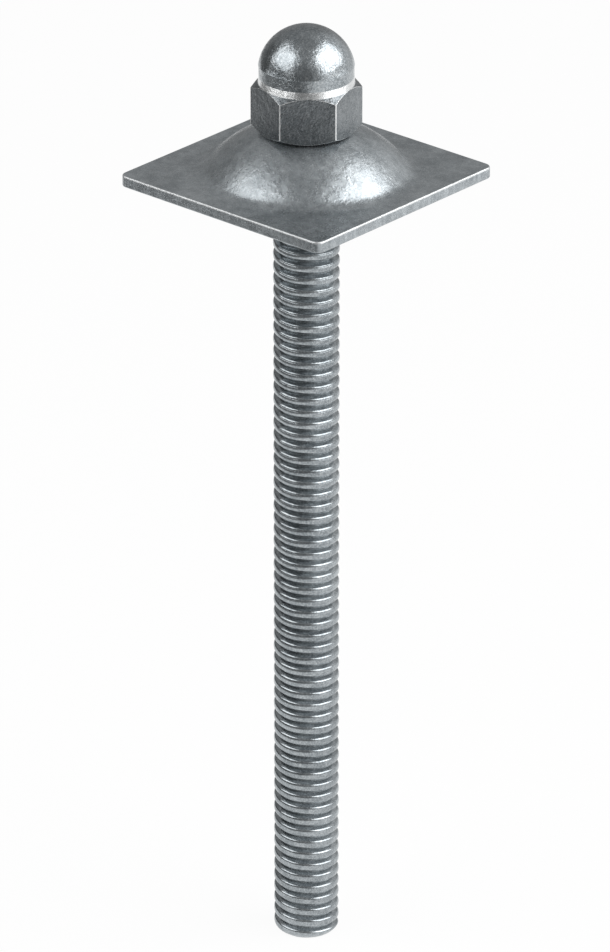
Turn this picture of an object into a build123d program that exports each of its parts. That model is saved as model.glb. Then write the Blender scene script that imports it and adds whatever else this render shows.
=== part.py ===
from build123d import *
from math import asin, cos, degrees, hypot, radians, sqrt, tan
import os

# Rock bolt: a threaded bar, a dished bearing plate and a domed cap nut.
#
# The bolt stands on the cut foot of its bar. The origin is the centre of that foot,
# +Z runs up the bar, and the sides of the plate lie along X and Y. Millimetres.

# ------------------------------------------------------------ driving dimensions
# Bar, with its left-hand, single-start thread
exposed_length = 317.5          # from the foot up to the underside of the plate
crest_radius = 12.7
thread_depth = 2.0
thread_pitch = 5.0
crest_above_seat = 2.0          # of one crest on the +X side; the rest count from it
end_chamfer = 1.2               # radial
end_chamfer_angle = 40.0        # from the bar's axis

# Square plate, pressed up into a dish whose top is coined flat as a seat
plate_side = 100.0
plate_thickness = 4.5
plate_corner_radius = 3.5
plate_edge_radius = 0.6
flat_margin = 6.7               # flat plate between the dish and the middle of a side
dish_rise = 17.0                # from the flat top up to the seat
dish_blend_radius = 8.0         # where the dish rises out of the flat plate
hole_clearance = 0.6            # radial, around the crests
seat_width = 2.4

# Domed cap nut, turned from hexagon bar
thread_clearance = 0.15         # radial, between the nut's thread and the bar's
neck_wall = 5.1                 # around the crests
collar_width = 0.3              # of the cone between the neck and the flats
collar_height = 2.6
flats_height = 18.8             # up to the middle of each flat's top edge
corner_allowance = 0.1          # between the hexagon's corners and the turned profile
neck_height = 4.5               # between the collar and the rim of the dome
rim_overhang = 0.15             # radial, of the dome past the neck
dome_height = 15.09             # from its rim to its top
bearing_face_inset = 0.6        # from the flats to the rim of the bearing face
lower_chamfer_angle = 34.0      # both chamfers are measured from a level plane
upper_chamfer_angle = 40.0
hexagon_edge_radius = 0.5
nut_turn = 43.0                 # where the hexagon stops when the nut is run up tight
bar_reach = 0.7                 # of the bar's end, past the rim of the dome
bore_end_gap = 3.0              # between the bar's end and the end of the bore
mouth_chamfer = 0.8

# -------------------------------------------------------------- derived dimensions
root_radius = crest_radius - thread_depth

plate_top = exposed_length + plate_thickness
seat_level = plate_top + dish_rise
hole_radius = crest_radius + hole_clearance
seat_radius = hole_radius + seat_width

neck_radius = crest_radius + thread_clearance + neck_wall
flats_radius = neck_radius + collar_width
rim_radius = neck_radius + rim_overhang
hexagon_corner = flats_radius / cos(radians(30))
flats_top = seat_level + flats_height
collar_top = flats_top + collar_height
rim_level = collar_top + neck_height
dome_radius = (rim_radius**2 + dome_height**2) / (2 * dome_height)
dome_centre = rim_level + dome_height - dome_radius
rim_tilt = degrees(asin((rim_level - dome_centre) / dome_radius))
nut_height = rim_level + dome_height - seat_level

bar_length = rim_level + bar_reach
bore_end = bar_length + bore_end_gap
counted_crest = seat_level + crest_above_seat


# ------------------------------------------------------------------------- thread
def helix_turn(radius, level):
    """One left-hand turn that rises one pitch from this level on the +X side."""
    return Edge.make_helix(
        thread_pitch, thread_pitch, radius, center=(0, 0, level), lefthand=True
    )


def helical_end(crest, root, level):
    """The ramp and the upright step that close one end of a threaded core."""
    axis = Edge.make_line((0, 0, level), (0, 0, level + thread_pitch))
    ramp = Face.make_surface_from_curves(axis, helix_turn(crest, level))
    step = Wire.make_polygon(
        [
            (0, 0, level),
            (crest, 0, level),
            (root, 0, level + thread_pitch / 2),
            (crest, 0, level + thread_pitch),
            (0, 0, level + thread_pitch),
        ]
    )
    return [ramp, Face(step)]


def threaded_core(bottom, top, clearance=0.0):
    """A round core with two straight flanks to each turn, reaching past both levels.

    The crests of every core keep to the same heights, so the nut's thread follows the
    bar's, and the clearance stands them apart evenly.
    """
    crest = crest_radius + clearance
    root = root_radius + clearance
    first_turn = int((bottom - counted_crest) // thread_pitch) - 1
    last_turn = int((top - counted_crest) // thread_pitch) + 1
    turns = range(first_turn, last_turn)
    levels = [counted_crest + turn * thread_pitch for turn in turns]

    faces = helical_end(crest, root, levels[0])
    faces += helical_end(crest, root, levels[-1] + thread_pitch)
    for level in levels:
        lower_crest = helix_turn(crest, level)
        valley = helix_turn(root, level + thread_pitch / 2)
        upper_crest = helix_turn(crest, level + thread_pitch)
        faces.append(Face.make_surface_from_curves(lower_crest, valley))
        faces.append(Face.make_surface_from_curves(valley, upper_crest))
    return Solid(Shell(faces))


# ------------------------------------------------------------------- threaded bar
blank_radius = crest_radius + thread_clearance / 2
chamfer_reach = blank_radius - (crest_radius - end_chamfer)
chamfer_length = chamfer_reach / tan(radians(end_chamfer_angle))

with BuildPart() as threaded_bar:
    # The blank clears the crests, so only its ends and their chamfers trim the thread
    with BuildSketch():
        Circle(blank_radius)
    extrude(amount=bar_length)
    end_rims = edges().filter_by(GeomType.CIRCLE)
    chamfer(end_rims, chamfer_length, chamfer_reach)
    add(threaded_core(0, bar_length), mode=Mode.INTERSECT)

# ------------------------------------------------------------------ bearing plate
# The crown is the sphere about a centre on the axis that passes through the rim of
# the seat and touches the blend, a circle that rests on the flat plate
dish_radius = plate_side / 2 - flat_margin
spread = dish_radius**2 - seat_radius**2 - dish_rise**2
drop = 2 * (dish_rise - dish_blend_radius)
double_blend = 2 * dish_blend_radius
square_term = drop**2 - double_blend**2
linear_term = 2 * spread * drop + 2 * double_blend**2 * dish_rise
constant_term = spread**2 - double_blend**2 * (seat_radius**2 + dish_rise**2)
discriminant = linear_term**2 - 4 * square_term * constant_term
crown_offset = (-linear_term + sqrt(discriminant)) / (2 * square_term)

crown_centre = plate_top + crown_offset
blend_centre = plate_top + dish_blend_radius
crown_radius = hypot(seat_radius, dish_rise - crown_offset)
under_radius = crown_radius - plate_thickness
under_blend_radius = dish_blend_radius + plate_thickness
base_tilt = degrees(asin(dish_radius / (crown_radius + dish_blend_radius)))
seat_tilt = degrees(asin(seat_radius / crown_radius))
hole_tilt = degrees(asin(hole_radius / under_radius))

with BuildPart() as bearing_plate:
    with BuildSketch(Plane.XY.offset(exposed_length)):
        RectangleRounded(plate_side, plate_side, plate_corner_radius)
    extrude(amount=plate_thickness)
    flat_faces = faces().filter_by(Axis.Z)
    fillet(flat_faces.edges(), radius=plate_edge_radius)
    with BuildSketch(Plane.XY.offset(exposed_length)):
        Circle(dish_radius)
    extrude(amount=plate_thickness, mode=Mode.SUBTRACT)
    with BuildSketch(Plane.XZ):
        with BuildLine():
            crown_middle = (0, crown_centre)
            blend_middle = (dish_radius, blend_centre)
            crown_start = 90 - base_tilt
            blend_start = 270 - base_tilt
            crown = CenterArc(crown_middle, crown_radius, crown_start, base_tilt - seat_tilt)
            blend = CenterArc(blend_middle, dish_blend_radius, blend_start, base_tilt)
            under_crown = CenterArc(
                crown_middle, under_radius, crown_start, base_tilt - hole_tilt
            )
            under_blend = CenterArc(blend_middle, under_blend_radius, blend_start, base_tilt)
            Line(blend @ 1, under_blend @ 1)
            Polyline(crown @ 1, (hole_radius, seat_level), under_crown @ 1)
        make_face()
    revolve(axis=Axis.Z)

# ----------------------------------------------------------------- domed cap nut
bearing_face_radius = flats_radius - bearing_face_inset
turned_radius = hexagon_corner + corner_allowance
lower_rise = (turned_radius - bearing_face_radius) * tan(radians(lower_chamfer_angle))
upper_drop = (turned_radius - flats_radius) * tan(radians(upper_chamfer_angle))
mouth_radius = crest_radius + thread_clearance + mouth_chamfer

with BuildPart() as bore:
    with BuildSketch(Plane.XY.offset(seat_level)):
        Circle(mouth_radius)
    extrude(amount=bore_end - seat_level)
    add(threaded_core(seat_level, bore_end, thread_clearance), mode=Mode.INTERSECT)

with BuildPart() as domed_cap_nut:
    with BuildSketch(Plane.XY.offset(seat_level)) as hexagon:
        RegularPolygon(flats_radius, 6, major_radius=False, rotation=nut_turn)
        fillet(hexagon.vertices(), radius=hexagon_edge_radius)
    extrude(amount=nut_height)
    with BuildSketch(Plane.XZ):
        with BuildLine():
            base = Polyline(
                (0, seat_level),
                (bearing_face_radius, seat_level),
                (turned_radius, seat_level + lower_rise),
                (turned_radius, flats_top - upper_drop),
                (flats_radius, flats_top),
                (neck_radius, collar_top),
                (neck_radius, rim_level),
                (rim_radius, rim_level),
            )
            dome = CenterArc((0, dome_centre), dome_radius, rim_tilt, 90 - rim_tilt)
            Line(dome @ 1, base @ 0)
        make_face()
    revolve(axis=Axis.Z, mode=Mode.INTERSECT)
    add(bore.part, mode=Mode.SUBTRACT)
    with BuildSketch(Plane.XY.offset(seat_level)):
        Circle(mouth_radius)
    extrude(amount=mouth_chamfer, taper=45, mode=Mode.SUBTRACT)

# ------------------------------------------------------------------------ export
threaded_bar.part.label = "threaded_bar"
bearing_plate.part.label = "bearing_plate"
domed_cap_nut.part.label = "domed_cap_nut"

os.makedirs("parts", exist_ok=True)
export_step(threaded_bar.part, "parts/threaded_bar.step")
export_step(bearing_plate.part, "parts/bearing_plate.step")
export_step(domed_cap_nut.part, "parts/domed_cap_nut.step")
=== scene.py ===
import math

import bmesh
import bpy
import numpy as np
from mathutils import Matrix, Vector


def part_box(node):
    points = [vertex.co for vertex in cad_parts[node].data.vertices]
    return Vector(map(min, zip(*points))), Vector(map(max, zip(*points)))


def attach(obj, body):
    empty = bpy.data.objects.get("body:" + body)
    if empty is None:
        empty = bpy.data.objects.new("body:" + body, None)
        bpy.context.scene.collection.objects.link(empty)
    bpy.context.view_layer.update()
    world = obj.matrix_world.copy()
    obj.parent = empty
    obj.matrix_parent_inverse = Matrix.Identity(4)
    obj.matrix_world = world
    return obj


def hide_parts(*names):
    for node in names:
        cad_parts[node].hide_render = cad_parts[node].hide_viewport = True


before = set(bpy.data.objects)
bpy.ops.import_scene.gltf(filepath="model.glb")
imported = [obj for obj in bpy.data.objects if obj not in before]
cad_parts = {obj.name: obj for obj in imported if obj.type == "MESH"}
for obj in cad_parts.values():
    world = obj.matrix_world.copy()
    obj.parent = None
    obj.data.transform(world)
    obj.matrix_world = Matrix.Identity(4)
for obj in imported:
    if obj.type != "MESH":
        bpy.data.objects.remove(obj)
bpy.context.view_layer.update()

# The bolt stands on the foot of its bar, with that foot's centre at the origin. Metres.

# ------------------------------------------------------------------ the bar's thread
PITCH = 0.005
DEPTH = 0.002
COUNTED_CREST = 0.341           # height of one crest on the +X side
FOOT_RADIUS = 0.0115            # what the end chamfers leave of each end
CHAMFER_ANGLE = math.radians(40)
# Each side of a groove: the flank's tilt, the root's radius and the shoulder's radius
UPWARD_SIDE = (math.radians(62), 0.0003, 0.0010)
DOWNWARD_SIDE = (math.radians(60), 0.0003, 0.0012)
CREST_TILT = math.radians(15)   # where a shoulder runs into the flatter crest
CREST_CURVES = (0.0001, 0.05)   # the crest's radius is found between these two,
CREST_HALVINGS = 40             # by halving the gap this often
ROOT_STEPS = 2
SHOULDER_STEPS = 5
CREST_STEPS = 2
TURN_SEGMENTS = 64
WELD = 1e-6
SHARP_ANGLE = math.radians(30)

# ----------------------------------------------------------------------- the plate
PLATE_TOP = 0.322
CORNER_CENTRE = 0.0465          # of the rounding of the plate's corners, along X and Y
RIM_HIGHLIGHT_REACH = (0.00298, 0.00312)         # beyond that centre, where the top's rim is rubbed and painted bright as a highlight
SHEARED_SIDE = (0.00342, 0.00346)       # and where the plate's sheared sides start
RIM_HIGHLIGHT_DEPTH = (0.0009, 0.0005)         # below the top, where the rim's rubbing and painted highlight end
# how bright the rim's painted highlight is
RIM_HIGHLIGHT_SHARE = 0.6
STREAKED_SHARE = 0.6

# ------------------------------------------------------------------------- the nut
FLATS_TOP = 0.3578
COLLAR_TOP = 0.3604
SOFT_LINE = 0.00012             # half the width of the line between two finishes
CORNER_REACH = (0.02088, 0.02094)       # from the axis, where the hexagon's edges are rubbed and painted bright as a highlight
EDGE_ROUNDING = 0.0003
FLATS_DARKENING = 0.45              # how far the hexagon's flats are darkened
COLLAR_SHARE = 0.8              # how bright the collar is
TURNED_EDGES = 0.1              # how much of the hexagon's edge rubbing and painted highlight the turned edges have

# ----------------------------------------------------------------------- the steel
DARK_STEEL = (0.195, 0.218, 0.233, 1)
LIGHT_STEEL = (0.49, 0.525, 0.545, 1)
BRIGHT_STEEL = (0.80, 0.81, 0.81, 1)
DARKER_FLATS_STEEL = (0.06, 0.065, 0.07, 1)
BRIGHT_ROUGHNESS = 0.42
# Noises: scale, detail and roughness
GRAIN = (1100, 3, 0.6)
DENTS = (430, 4, 0.65)
# Patterns: a noise, and the span of it over which the pattern rises from none to full
CLOUDS = ((55, 4, 0.6), (0.36, 0.64))
BLOTCHES = ((260, 5, 0.65), (0.33, 0.68))
FLECKS = ((1500, 3, 0.6), (0.38, 0.66))
SPECKS = ((1250, 2, 0.5), (0.56, 0.68))
SHEEN = ((420, 5, 0.6), (0.3, 0.7))
STREAKS = ((420, 4, 0.6), (0.42, 0.66))
UPRIGHT = (1, 1, 0.2)           # how the streaks' noise is stretched
CLOUD_SHARE = 0.24
BLOTCH_SHARE = 0.32
FLECK_MIDDLE = 0.5              # the flecks lighten and darken about this middle,
FLECK_TONE = 0.22               # which itself adds this much
RELIEF = 0.00012                # how deep the grain and the dents look
EDGE_SAMPLES = 8
EDGE_AGREEMENT = (0.999, 0.96)  # of a rounded normal with its face's, at an edge with a painted highlight

# ---------------------------------------------------------------------------- camera
CAMERA_SIDE = math.radians(-48.57)      # where the camera stands, from +X about the bar
CAMERA_REACH = 2.505
CAMERA_ABOVE_PLATE = 1.043
CAMERA_SIDESTEP = -0.00055
CAMERA_PITCH = math.radians(25.035)
CAMERA_LENS = 272.7             # millimetres, as the sensor is
CAMERA_SENSOR = 36
CAMERA_CLIP = (0.1, 60)

# ----------------------------------------------------------------------------- floor
FLOOR_RADIUS = 1.7
FLOOR_SIDES = 96
FLOOR_COLOUR = 0.86
BACKGROUND_SHARE = 0.94
SHADE_PAINT_SIDE = math.radians(-60)   # from the camera's line; the floor is darkened this way as painted shade, between these distances from the bar, down to this share of its colour
SHADE_PAINT_SPAN = (0.26, 0.46)             # between these distances from the bar,
SHADE_PAINT_SHARE = 0.24                    # down to this share of its colour

# ------------------------------------------------------------------------------ room
# The light of the camera's wall, what each other one adds to it, and the span over which
# that comes in. A span is counted along the way named beside it: 1 is straight that way,
# 0 is square to it and -1 is straight away from it.
FRONT_WALL = 0.23
BACK_WALL = 0.07
BACK_SPAN = (0.0, 0.8)          # away from the camera
LEFT_WALL = -0.14
LEFT_SPAN = (-0.35, -0.8)       # to the right
RIGHT_WALL = 0.5
RIGHT_SPAN = (0.2, 0.75)        # to the right
CEILING = 0.12
CEILING_SPAN = (0.2, 0.8)       # up
# A bright strip runs low along each side wall, on the camera's half of the room
LEFT_STRIP = 2.2
LEFT_STRIP_SPAN = (-0.42, -0.6)         # to the right
RIGHT_STRIP = 2.6
RIGHT_STRIP_SPAN = (0.6, 0.78)          # to the right
STRIP_DROP = 0.14               # of its middle, down
STRIP_EDGE = (0.09, 0.05)       # up and down from that middle
STRIP_FRONT = (-0.3, -0.1)      # towards the camera

# ------------------------------------------------------------------------ soft lights
AIM = Vector((0, 0, 0.30))
# Degrees to the right of the camera's line, degrees up, distance, width, height, watts
SOFT_LIGHTS = {
    "soft_right": (77, 39, 1.7, 2.0, 1.35, 25),
    "soft_left": (-72, 39, 1.7, 1.7, 1.3, 14),
}

BLACK = (0, 0, 0, 1)
WHITE = (1, 1, 1, 1)


def level_direction(beside):
    """Level, from the bar, at this angle to the right of the camera's line."""
    return Vector((math.cos(CAMERA_SIDE + beside), math.sin(CAMERA_SIDE + beside), 0))


def camera_out():
    return level_direction(0)


def camera_right():
    return level_direction(math.pi / 2)


def add_object(name, data):
    made = bpy.data.objects.new(name, data)
    bpy.context.scene.collection.objects.link(made)
    return made


# --------------------------------------------------------------------------- the bar
def groove_side(flank_tilt, root_radius, shoulder_radius, crest_curve):
    """From the middle of a root to the top of a crest: (along the bar, out of the root)."""
    points = [(0.0, 0.0)]

    def arc(radius, start, end, steps):
        along, out = points[-1]
        for tilt in np.linspace(start, end, steps + 1)[1:]:
            swept = abs(math.sin(tilt) - math.sin(start)) * radius
            risen = abs(math.cos(tilt) - math.cos(start)) * radius
            points.append((along + swept, out + risen))

    arc(root_radius, 0, flank_tilt, ROOT_STEPS)
    crest_rise = crest_curve * (1 - math.cos(CREST_TILT))
    shoulder_rise = shoulder_radius * (math.cos(CREST_TILT) - math.cos(flank_tilt))
    along, out = points[-1]
    straight = DEPTH - out - crest_rise - shoulder_rise
    points.append((along + straight / math.tan(flank_tilt), out + straight))
    arc(shoulder_radius, flank_tilt, CREST_TILT, SHOULDER_STEPS)
    arc(crest_curve, CREST_TILT, 0, CREST_STEPS)
    return points


def thread_profile():
    """One pitch upwards from the top of a crest, with the crest's curve made to fit."""
    low, high = CREST_CURVES
    for _ in range(CREST_HALVINGS):
        crest_curve = (low + high) / 2
        below = groove_side(*UPWARD_SIDE, crest_curve)
        above = groove_side(*DOWNWARD_SIDE, crest_curve)
        if below[-1][0] + above[-1][0] > PITCH:
            high = crest_curve
        else:
            low = crest_curve
    bottom = below[-1][0]
    turn = [(bottom - along, out) for along, out in reversed(below)]
    return turn + [(bottom + along, out) for along, out in above[1:-1]]


def bar_points(low, length, crest_radius, profile):
    """The thread's rows of points, each followed down round one whole left-hand turn."""
    first = math.floor(-COUNTED_CREST / PITCH) - 1
    last = math.ceil((length - COUNTED_CREST) / PITCH) + 1
    crests = [COUNTED_CREST + turn * PITCH for turn in range(first, last + 1)]
    row_height = np.array([crest + along for crest in crests for along, _ in profile])
    row_radius = np.array([crest_radius - DEPTH + out for _ in crests for _, out in profile])

    points = []
    for segment in range(TURN_SEGMENTS):
        share = segment / TURN_SEGMENTS
        angle = 2 * math.pi * share
        height = row_height - PITCH * share
        ends = np.clip(height, 0, length)
        radius = np.interp(ends, height, row_radius)
        end_gap = np.minimum(ends, length - ends)
        radius = np.minimum(radius, FOOT_RADIUS + end_gap * math.tan(CHAMFER_ANGLE))
        columns = [radius * math.cos(angle), radius * math.sin(angle), ends + low]
        points.append(np.stack(columns, axis=-1))
    return points


def bar_faces(rows, turn_rows):
    """After a whole turn, a row has come down one pitch and meets the row a turn below."""
    faces = []
    for segment in range(TURN_SEGMENTS):
        down = turn_rows if segment == TURN_SEGMENTS - 1 else 0
        here = segment * rows + down
        beside = (segment + 1) % TURN_SEGMENTS * rows
        for row in range(rows - 1 - down):
            faces.append((here + row, beside + row, beside + row + 1, here + row + 1))
    return faces


def build_bar():
    """The bar with its rounded, rope-like thread, between the ends of the CAD's bar."""
    low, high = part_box("threaded_bar")
    profile = thread_profile()
    points = bar_points(low.z, high.z - low.z, (high.x - low.x) / 2, profile)
    faces = bar_faces(len(points[0]), len(profile))

    mesh = bpy.data.meshes.new("rope_threaded_bar")
    mesh.from_pydata(np.concatenate(points).tolist(), [], faces)
    shell = bmesh.new()
    shell.from_mesh(mesh)
    bmesh.ops.remove_doubles(shell, verts=shell.verts, dist=WELD)
    bmesh.ops.dissolve_degenerate(shell, edges=shell.edges, dist=WELD)
    rims = [edge for edge in shell.edges if edge.is_boundary]
    bmesh.ops.holes_fill(shell, edges=rims, sides=0)
    shell.to_mesh(mesh)
    shell.free()
    mesh.shade_smooth()
    mesh.set_sharp_from_angle(angle=SHARP_ANGLE)
    return add_object("rope_threaded_bar", mesh)


# -------------------------------------------------------------------------- node trees
class Tree:
    """A short way to write node trees. A value is a number, a colour or a socket."""

    def __init__(self, tree):
        self.nodes = tree.nodes
        self.links = tree.links
        self.nodes.clear()

    def node(self, kind, **settings):
        made = self.nodes.new(kind)
        for name, value in settings.items():
            setattr(made, name, value)
        return made

    def plug(self, socket, value):
        if isinstance(value, bpy.types.NodeSocket):
            self.links.new(value, socket)
        else:
            socket.default_value = value

    def feed(self, node, **inputs):
        for name, value in inputs.items():
            self.plug(node.inputs[name.replace("_", " ")], value)
        return node

    def operate(self, kind, operation, values):
        made = self.node(kind, operation=operation)
        for socket, value in zip(made.inputs, values):
            self.plug(socket, value)
        return made

    def number(self, operation, *values):
        return self.operate("ShaderNodeMath", operation, values).outputs["Value"]

    def vector(self, operation, *values):
        return self.operate("ShaderNodeVectorMath", operation, values).outputs["Vector"]

    def measure(self, operation, *values):
        """A number from vectors: a length or a dot product."""
        return self.operate("ShaderNodeVectorMath", operation, values).outputs["Value"]

    def noise(self, place, scale, detail, roughness):
        made = self.node("ShaderNodeTexNoise")
        self.feed(made, Vector=place, Scale=scale, Detail=detail, Roughness=roughness)
        return made.outputs["Fac"]

    def span(self, value, low, high, to_low=0.0, to_high=1.0):
        """Smoothly from one number to the other while the value goes from low to high."""
        made = self.node("ShaderNodeMapRange", interpolation_type="SMOOTHSTEP")
        self.feed(made, Value=value, From_Min=low, From_Max=high, To_Min=to_low, To_Max=to_high)
        return made.outputs["Result"]

    def blend(self, share, first, second):
        """A mix of two colours, whose sockets come after the node's other kinds."""
        made = self.node("ShaderNodeMix", data_type="RGBA")
        self.plug(made.inputs[0], share)
        self.plug(made.inputs[6], first)
        self.plug(made.inputs[7], second)
        return made.outputs[2]


# --------------------------------------------------------------------------- materials
class Steel(Tree):
    """Zinc-coated steel: clouded, speckled and finely dented.

    rough is the span of its roughness, specks and flecks say how strongly those show in
    its colour, grain and dents how strongly in its relief, and dull is the share of it
    that isn't metallic.
    """

    def __init__(self, name, rough, specks=0.3, flecks=0.44, grain=0.3, dents=1.8, dull=0.0):
        self.material = bpy.data.materials.new(name)
        self.material.use_nodes = True
        super().__init__(self.material.node_tree)
        self.grain = grain
        self.dents = dents
        self.dull = dull
        self.rounded = None
        self.place = self.node("ShaderNodeTexCoord").outputs["Object"]

        tone = self.number("MULTIPLY", self.pattern(CLOUDS), CLOUD_SHARE)
        tone = self.number("ADD", tone, self.number("MULTIPLY", self.pattern(BLOTCHES), BLOTCH_SHARE))
        fleck = self.number("SUBTRACT", self.pattern(FLECKS), FLECK_MIDDLE)
        tone = self.number("ADD", tone, self.number("MULTIPLY", fleck, flecks))
        tone = self.number("ADD", tone, FLECK_TONE)
        self.colour = self.blend(tone, DARK_STEEL, LIGHT_STEEL)
        self.colour = self.blend(self.pattern(SPECKS, 0, specks), self.colour, BRIGHT_STEEL)
        self.rough = self.pattern(SHEEN, *rough)

    def pattern(self, pattern, none=0.0, full=1.0, place=None):
        noise, rise = pattern
        return self.span(self.noise(place or self.place, *noise), *rise, none, full)

    def height(self):
        apart = self.node("ShaderNodeSeparateXYZ")
        self.feed(apart, Vector=self.place)
        return apart.outputs["Z"]

    def rub_and_paint_highlight(self, share):
        """Rubbed a little rougher and brightened as a painted highlight, by this share."""
        self.colour = self.blend(share, self.colour, BRIGHT_STEEL)
        self.rough = self.span(share, 0, 1, self.rough, BRIGHT_ROUGHNESS)

    def round_edges(self, reach, highlight_share):
        """Edges look rounded, and by the highlight share are rubbed and painted bright as a highlight
        where the face turns.
        """
        bevel = self.node("ShaderNodeBevel", samples=EDGE_SAMPLES)
        self.feed(bevel, Radius=reach)
        self.rounded = bevel.outputs["Normal"]
        face = self.node("ShaderNodeNewGeometry").outputs["Normal"]
        edge = self.span(self.measure("DOT_PRODUCT", self.rounded, face), *EDGE_AGREEMENT)
        self.rub_and_paint_highlight(self.number("MULTIPLY", edge, highlight_share))

    def finish(self):
        grain = self.number("MULTIPLY", self.noise(self.place, *GRAIN), self.grain)
        dents = self.number("MULTIPLY", self.noise(self.place, *DENTS), self.dents)
        bump = self.node("ShaderNodeBump")
        self.feed(bump, Strength=1.0, Distance=RELIEF, Height=self.number("ADD", grain, dents))
        if self.rounded is not None:
            self.feed(bump, Normal=self.rounded)
        shader = self.node("ShaderNodeBsdfPrincipled")
        self.feed(shader, Base_Color=self.colour, Metallic=1.0 - self.dull)
        self.feed(shader, Roughness=self.rough, Normal=bump.outputs["Normal"])
        self.feed(self.node("ShaderNodeOutputMaterial"), Surface=shader.outputs["BSDF"])
        return self.material


def bar_steel():
    smooth = {"specks": 0.15, "grain": 0.08, "dents": 0.08}
    return Steel("bar_steel", rough=(0.16, 0.22), dull=0.05, **smooth).finish()


def plate_steel():
    """The top's rim is rubbed and painted bright as a highlight, and the sheared sides are streaked
    up and down.
    """
    smooth = {"specks": 0.15, "flecks": 0.2, "grain": 0.25}
    steel = Steel("plate_steel", rough=(0.22, 0.34), dull=0.2, **smooth)
    flat = steel.vector("MULTIPLY", steel.vector("ABSOLUTE", steel.place), (1, 1, 0))
    past = steel.vector("SUBTRACT", flat, (CORNER_CENTRE, CORNER_CENTRE, 0))
    reach = steel.measure("LENGTH", steel.vector("MAXIMUM", past, (0, 0, 0)))

    stretched = steel.node("ShaderNodeMapping")
    steel.feed(stretched, Vector=steel.place, Scale=UPRIGHT)
    streaks = steel.pattern(STREAKS, 0, STREAKED_SHARE, stretched.outputs["Vector"])
    streaks = steel.number("MULTIPLY", streaks, steel.span(reach, *SHEARED_SIDE))
    steel.colour = steel.blend(streaks, steel.colour, LIGHT_STEEL)

    # Painted highlight: the top's rim is brightened all round, and rubbed a little rougher.
    upper = steel.span(steel.height(), *(PLATE_TOP - depth for depth in RIM_HIGHLIGHT_DEPTH))
    rim = steel.span(reach, *RIM_HIGHLIGHT_REACH, 0, RIM_HIGHLIGHT_SHARE)
    steel.rub_and_paint_highlight(steel.number("MULTIPLY", rim, upper))
    return steel.finish()


def nut_steel():
    """Darker flats on the hexagon; the turned collar, neck and dome are bright, and edges are rubbed
    and painted bright as a highlight.
    """
    steel = Steel("nut_steel", rough=(0.16, 0.30))
    height = steel.height()
    turned = steel.span(height, FLATS_TOP - SOFT_LINE, FLATS_TOP + SOFT_LINE)
    collar = steel.span(height, COLLAR_TOP + SOFT_LINE, COLLAR_TOP - SOFT_LINE)
    collar = steel.number("MULTIPLY", steel.number("MULTIPLY", turned, collar), COLLAR_SHARE)
    steel.colour = steel.blend(steel.span(turned, 0, 1, FLATS_DARKENING, 0), steel.colour, DARKER_FLATS_STEEL)
    steel.colour = steel.blend(collar, steel.colour, BRIGHT_STEEL)
    reach = steel.measure("LENGTH", steel.vector("MULTIPLY", steel.place, (1, 1, 0)))
    # Painted highlights: the hexagon's corner edges and the turning edges are brightened, and rubbed
    # a little rougher.
    steel.rub_and_paint_highlight(steel.span(reach, *CORNER_REACH))
    steel.round_edges(EDGE_ROUNDING, steel.span(turned, 0, 1, 1, TURNED_EDGES))
    return steel.finish()


def dress(obj, material):
    obj.data.materials.clear()
    obj.data.materials.append(material)


# --------------------------------------------------------------------------- the stage
def background_share(tree):
    """How much of the floor is plain background, seen straight, in gloss or through glass."""
    path = tree.node("ShaderNodeLightPath").outputs
    seen = tree.number("ADD", path["Is Camera Ray"], path["Is Glossy Ray"])
    seen = tree.number("ADD", seen, path["Is Transmission Ray"])
    return tree.number("MULTIPLY", tree.number("MINIMUM", seen, 1.0), BACKGROUND_SHARE)


def floor_paint():
    """Pale: mostly plain background, the rest matt to take the shadow, and darkened on one side as
    painted shade.
    """
    material = bpy.data.materials.new("floor")
    material.use_nodes = True
    tree = Tree(material.node_tree)
    place = tree.node("ShaderNodeTexCoord").outputs["Object"]
    away = tree.measure("DOT_PRODUCT", place, level_direction(SHADE_PAINT_SIDE))
    # Painted shade: the floor's colour and its plain background darken on one side.
    lit = tree.span(away, *SHADE_PAINT_SPAN, 1, SHADE_PAINT_SHARE)
    matt = tree.node("ShaderNodeBsdfDiffuse")
    tree.feed(matt, Color=tree.blend(lit, BLACK, (FLOOR_COLOUR,) * 3 + (1,)))
    plain = tree.node("ShaderNodeEmission")
    tree.feed(plain, Color=tree.blend(lit, BLACK, WHITE))
    mixed = tree.node("ShaderNodeMixShader")
    tree.plug(mixed.inputs[0], background_share(tree))
    tree.plug(mixed.inputs[1], matt.outputs[0])
    tree.plug(mixed.inputs[2], plain.outputs[0])
    tree.feed(tree.node("ShaderNodeOutputMaterial"), Surface=mixed.outputs[0])
    return material


def build_floor():
    rim = []
    for side in range(FLOOR_SIDES):
        angle = 2 * math.pi * side / FLOOR_SIDES
        rim.append((FLOOR_RADIUS * math.cos(angle), FLOOR_RADIUS * math.sin(angle), 0))
    mesh = bpy.data.meshes.new("floor")
    mesh.from_pydata(rim, [], [list(range(FLOOR_SIDES))])
    floor = add_object("floor", mesh)
    dress(floor, floor_paint())


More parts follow.
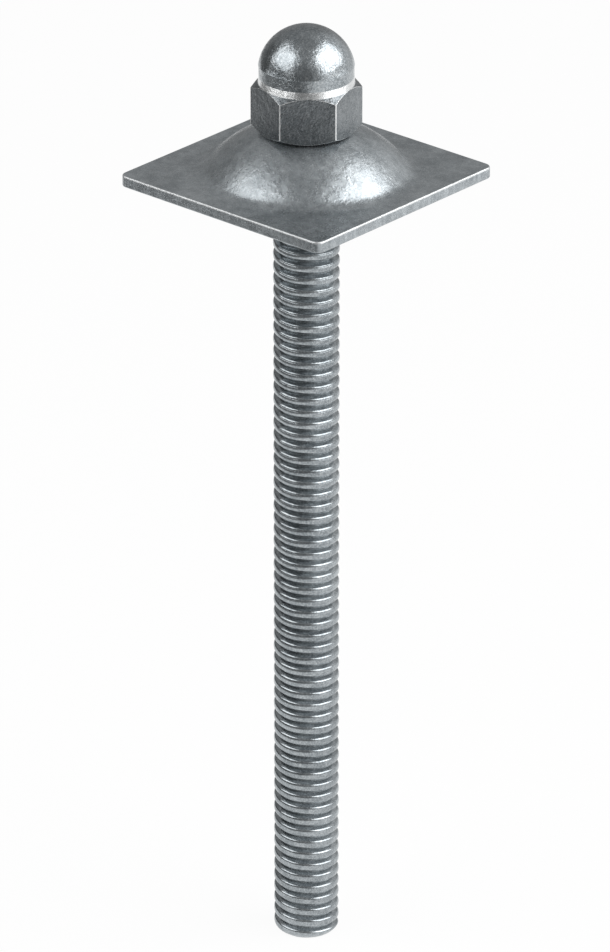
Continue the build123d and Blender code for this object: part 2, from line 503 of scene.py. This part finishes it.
def build_world():
    """A plain dark room, pale on the right, with a strip of light low on each side."""
    world = bpy.data.worlds.new("studio")
    bpy.context.scene.world = world
    world.use_nodes = True
    tree = Tree(world.node_tree)
    toward = tree.node("ShaderNodeTexCoord").outputs["Generated"]
    front = tree.measure("DOT_PRODUCT", toward, camera_out())
    back = tree.measure("DOT_PRODUCT", toward, -camera_out())
    beside = tree.measure("DOT_PRODUCT", toward, camera_right())
    up = tree.measure("DOT_PRODUCT", toward, Vector((0, 0, 1)))

    level = tree.span(back, *BACK_SPAN, FRONT_WALL, FRONT_WALL + BACK_WALL)
    level = tree.number("ADD", level, tree.span(beside, *LEFT_SPAN, 0, LEFT_WALL))
    level = tree.number("ADD", level, tree.span(beside, *RIGHT_SPAN, 0, RIGHT_WALL))
    level = tree.number("ADD", level, tree.span(up, *CEILING_SPAN, 0, CEILING))

    off_middle = tree.number("ABSOLUTE", tree.number("ADD", up, STRIP_DROP))
    low = tree.number("MULTIPLY", tree.span(off_middle, *STRIP_EDGE), tree.span(front, *STRIP_FRONT))
    left = tree.span(beside, *LEFT_STRIP_SPAN, 0, LEFT_STRIP)
    right = tree.span(beside, *RIGHT_STRIP_SPAN, 0, RIGHT_STRIP)
    strips = tree.number("MULTIPLY", low, tree.number("ADD", left, right))

    sky = tree.node("ShaderNodeBackground")
    tree.feed(sky, Color=WHITE, Strength=tree.number("ADD", level, strips))
    tree.feed(tree.node("ShaderNodeOutputWorld"), Surface=sky.outputs[0])


def soft_light(name, beside, elevation, reach, width, height, power):
    side = CAMERA_SIDE + math.radians(beside)
    rise = math.radians(elevation)
    level = math.cos(rise)
    away = Vector((math.cos(side) * level, math.sin(side) * level, math.sin(rise)))
    data = bpy.data.lights.new(name, "AREA")
    data.shape = "RECTANGLE"
    data.size = width
    data.size_y = height
    data.energy = power
    lamp = add_object(name, data)
    lamp.location = AIM + away * reach
    lamp.rotation_mode = "QUATERNION"
    lamp.rotation_quaternion = (-away).to_track_quat("-Z", "Y")


def build_camera():
    data = bpy.data.cameras.new("camera")
    data.sensor_width = CAMERA_SENSOR
    data.lens = CAMERA_LENS
    data.clip_start, data.clip_end = CAMERA_CLIP
    camera = add_object("camera", data)
    camera.location = camera_out() * CAMERA_REACH + camera_right() * CAMERA_SIDESTEP
    camera.location.z = PLATE_TOP + CAMERA_ABOVE_PLATE
    look = -camera_out() * math.cos(CAMERA_PITCH) - Vector((0, 0, math.sin(CAMERA_PITCH)))
    camera.rotation_mode = "QUATERNION"
    camera.rotation_quaternion = look.to_track_quat("-Z", "Y")
    bpy.context.scene.camera = camera


bar = build_bar()
dress(bar, bar_steel())
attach(bar, "root")
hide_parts("threaded_bar")
dress(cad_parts["bearing_plate"], plate_steel())
dress(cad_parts["domed_cap_nut"], nut_steel())

build_floor()
build_world()
for light_name, placing in SOFT_LIGHTS.items():
    soft_light(light_name, *placing)
build_camera()
bpy.context.scene.view_settings.view_transform = "Standard"
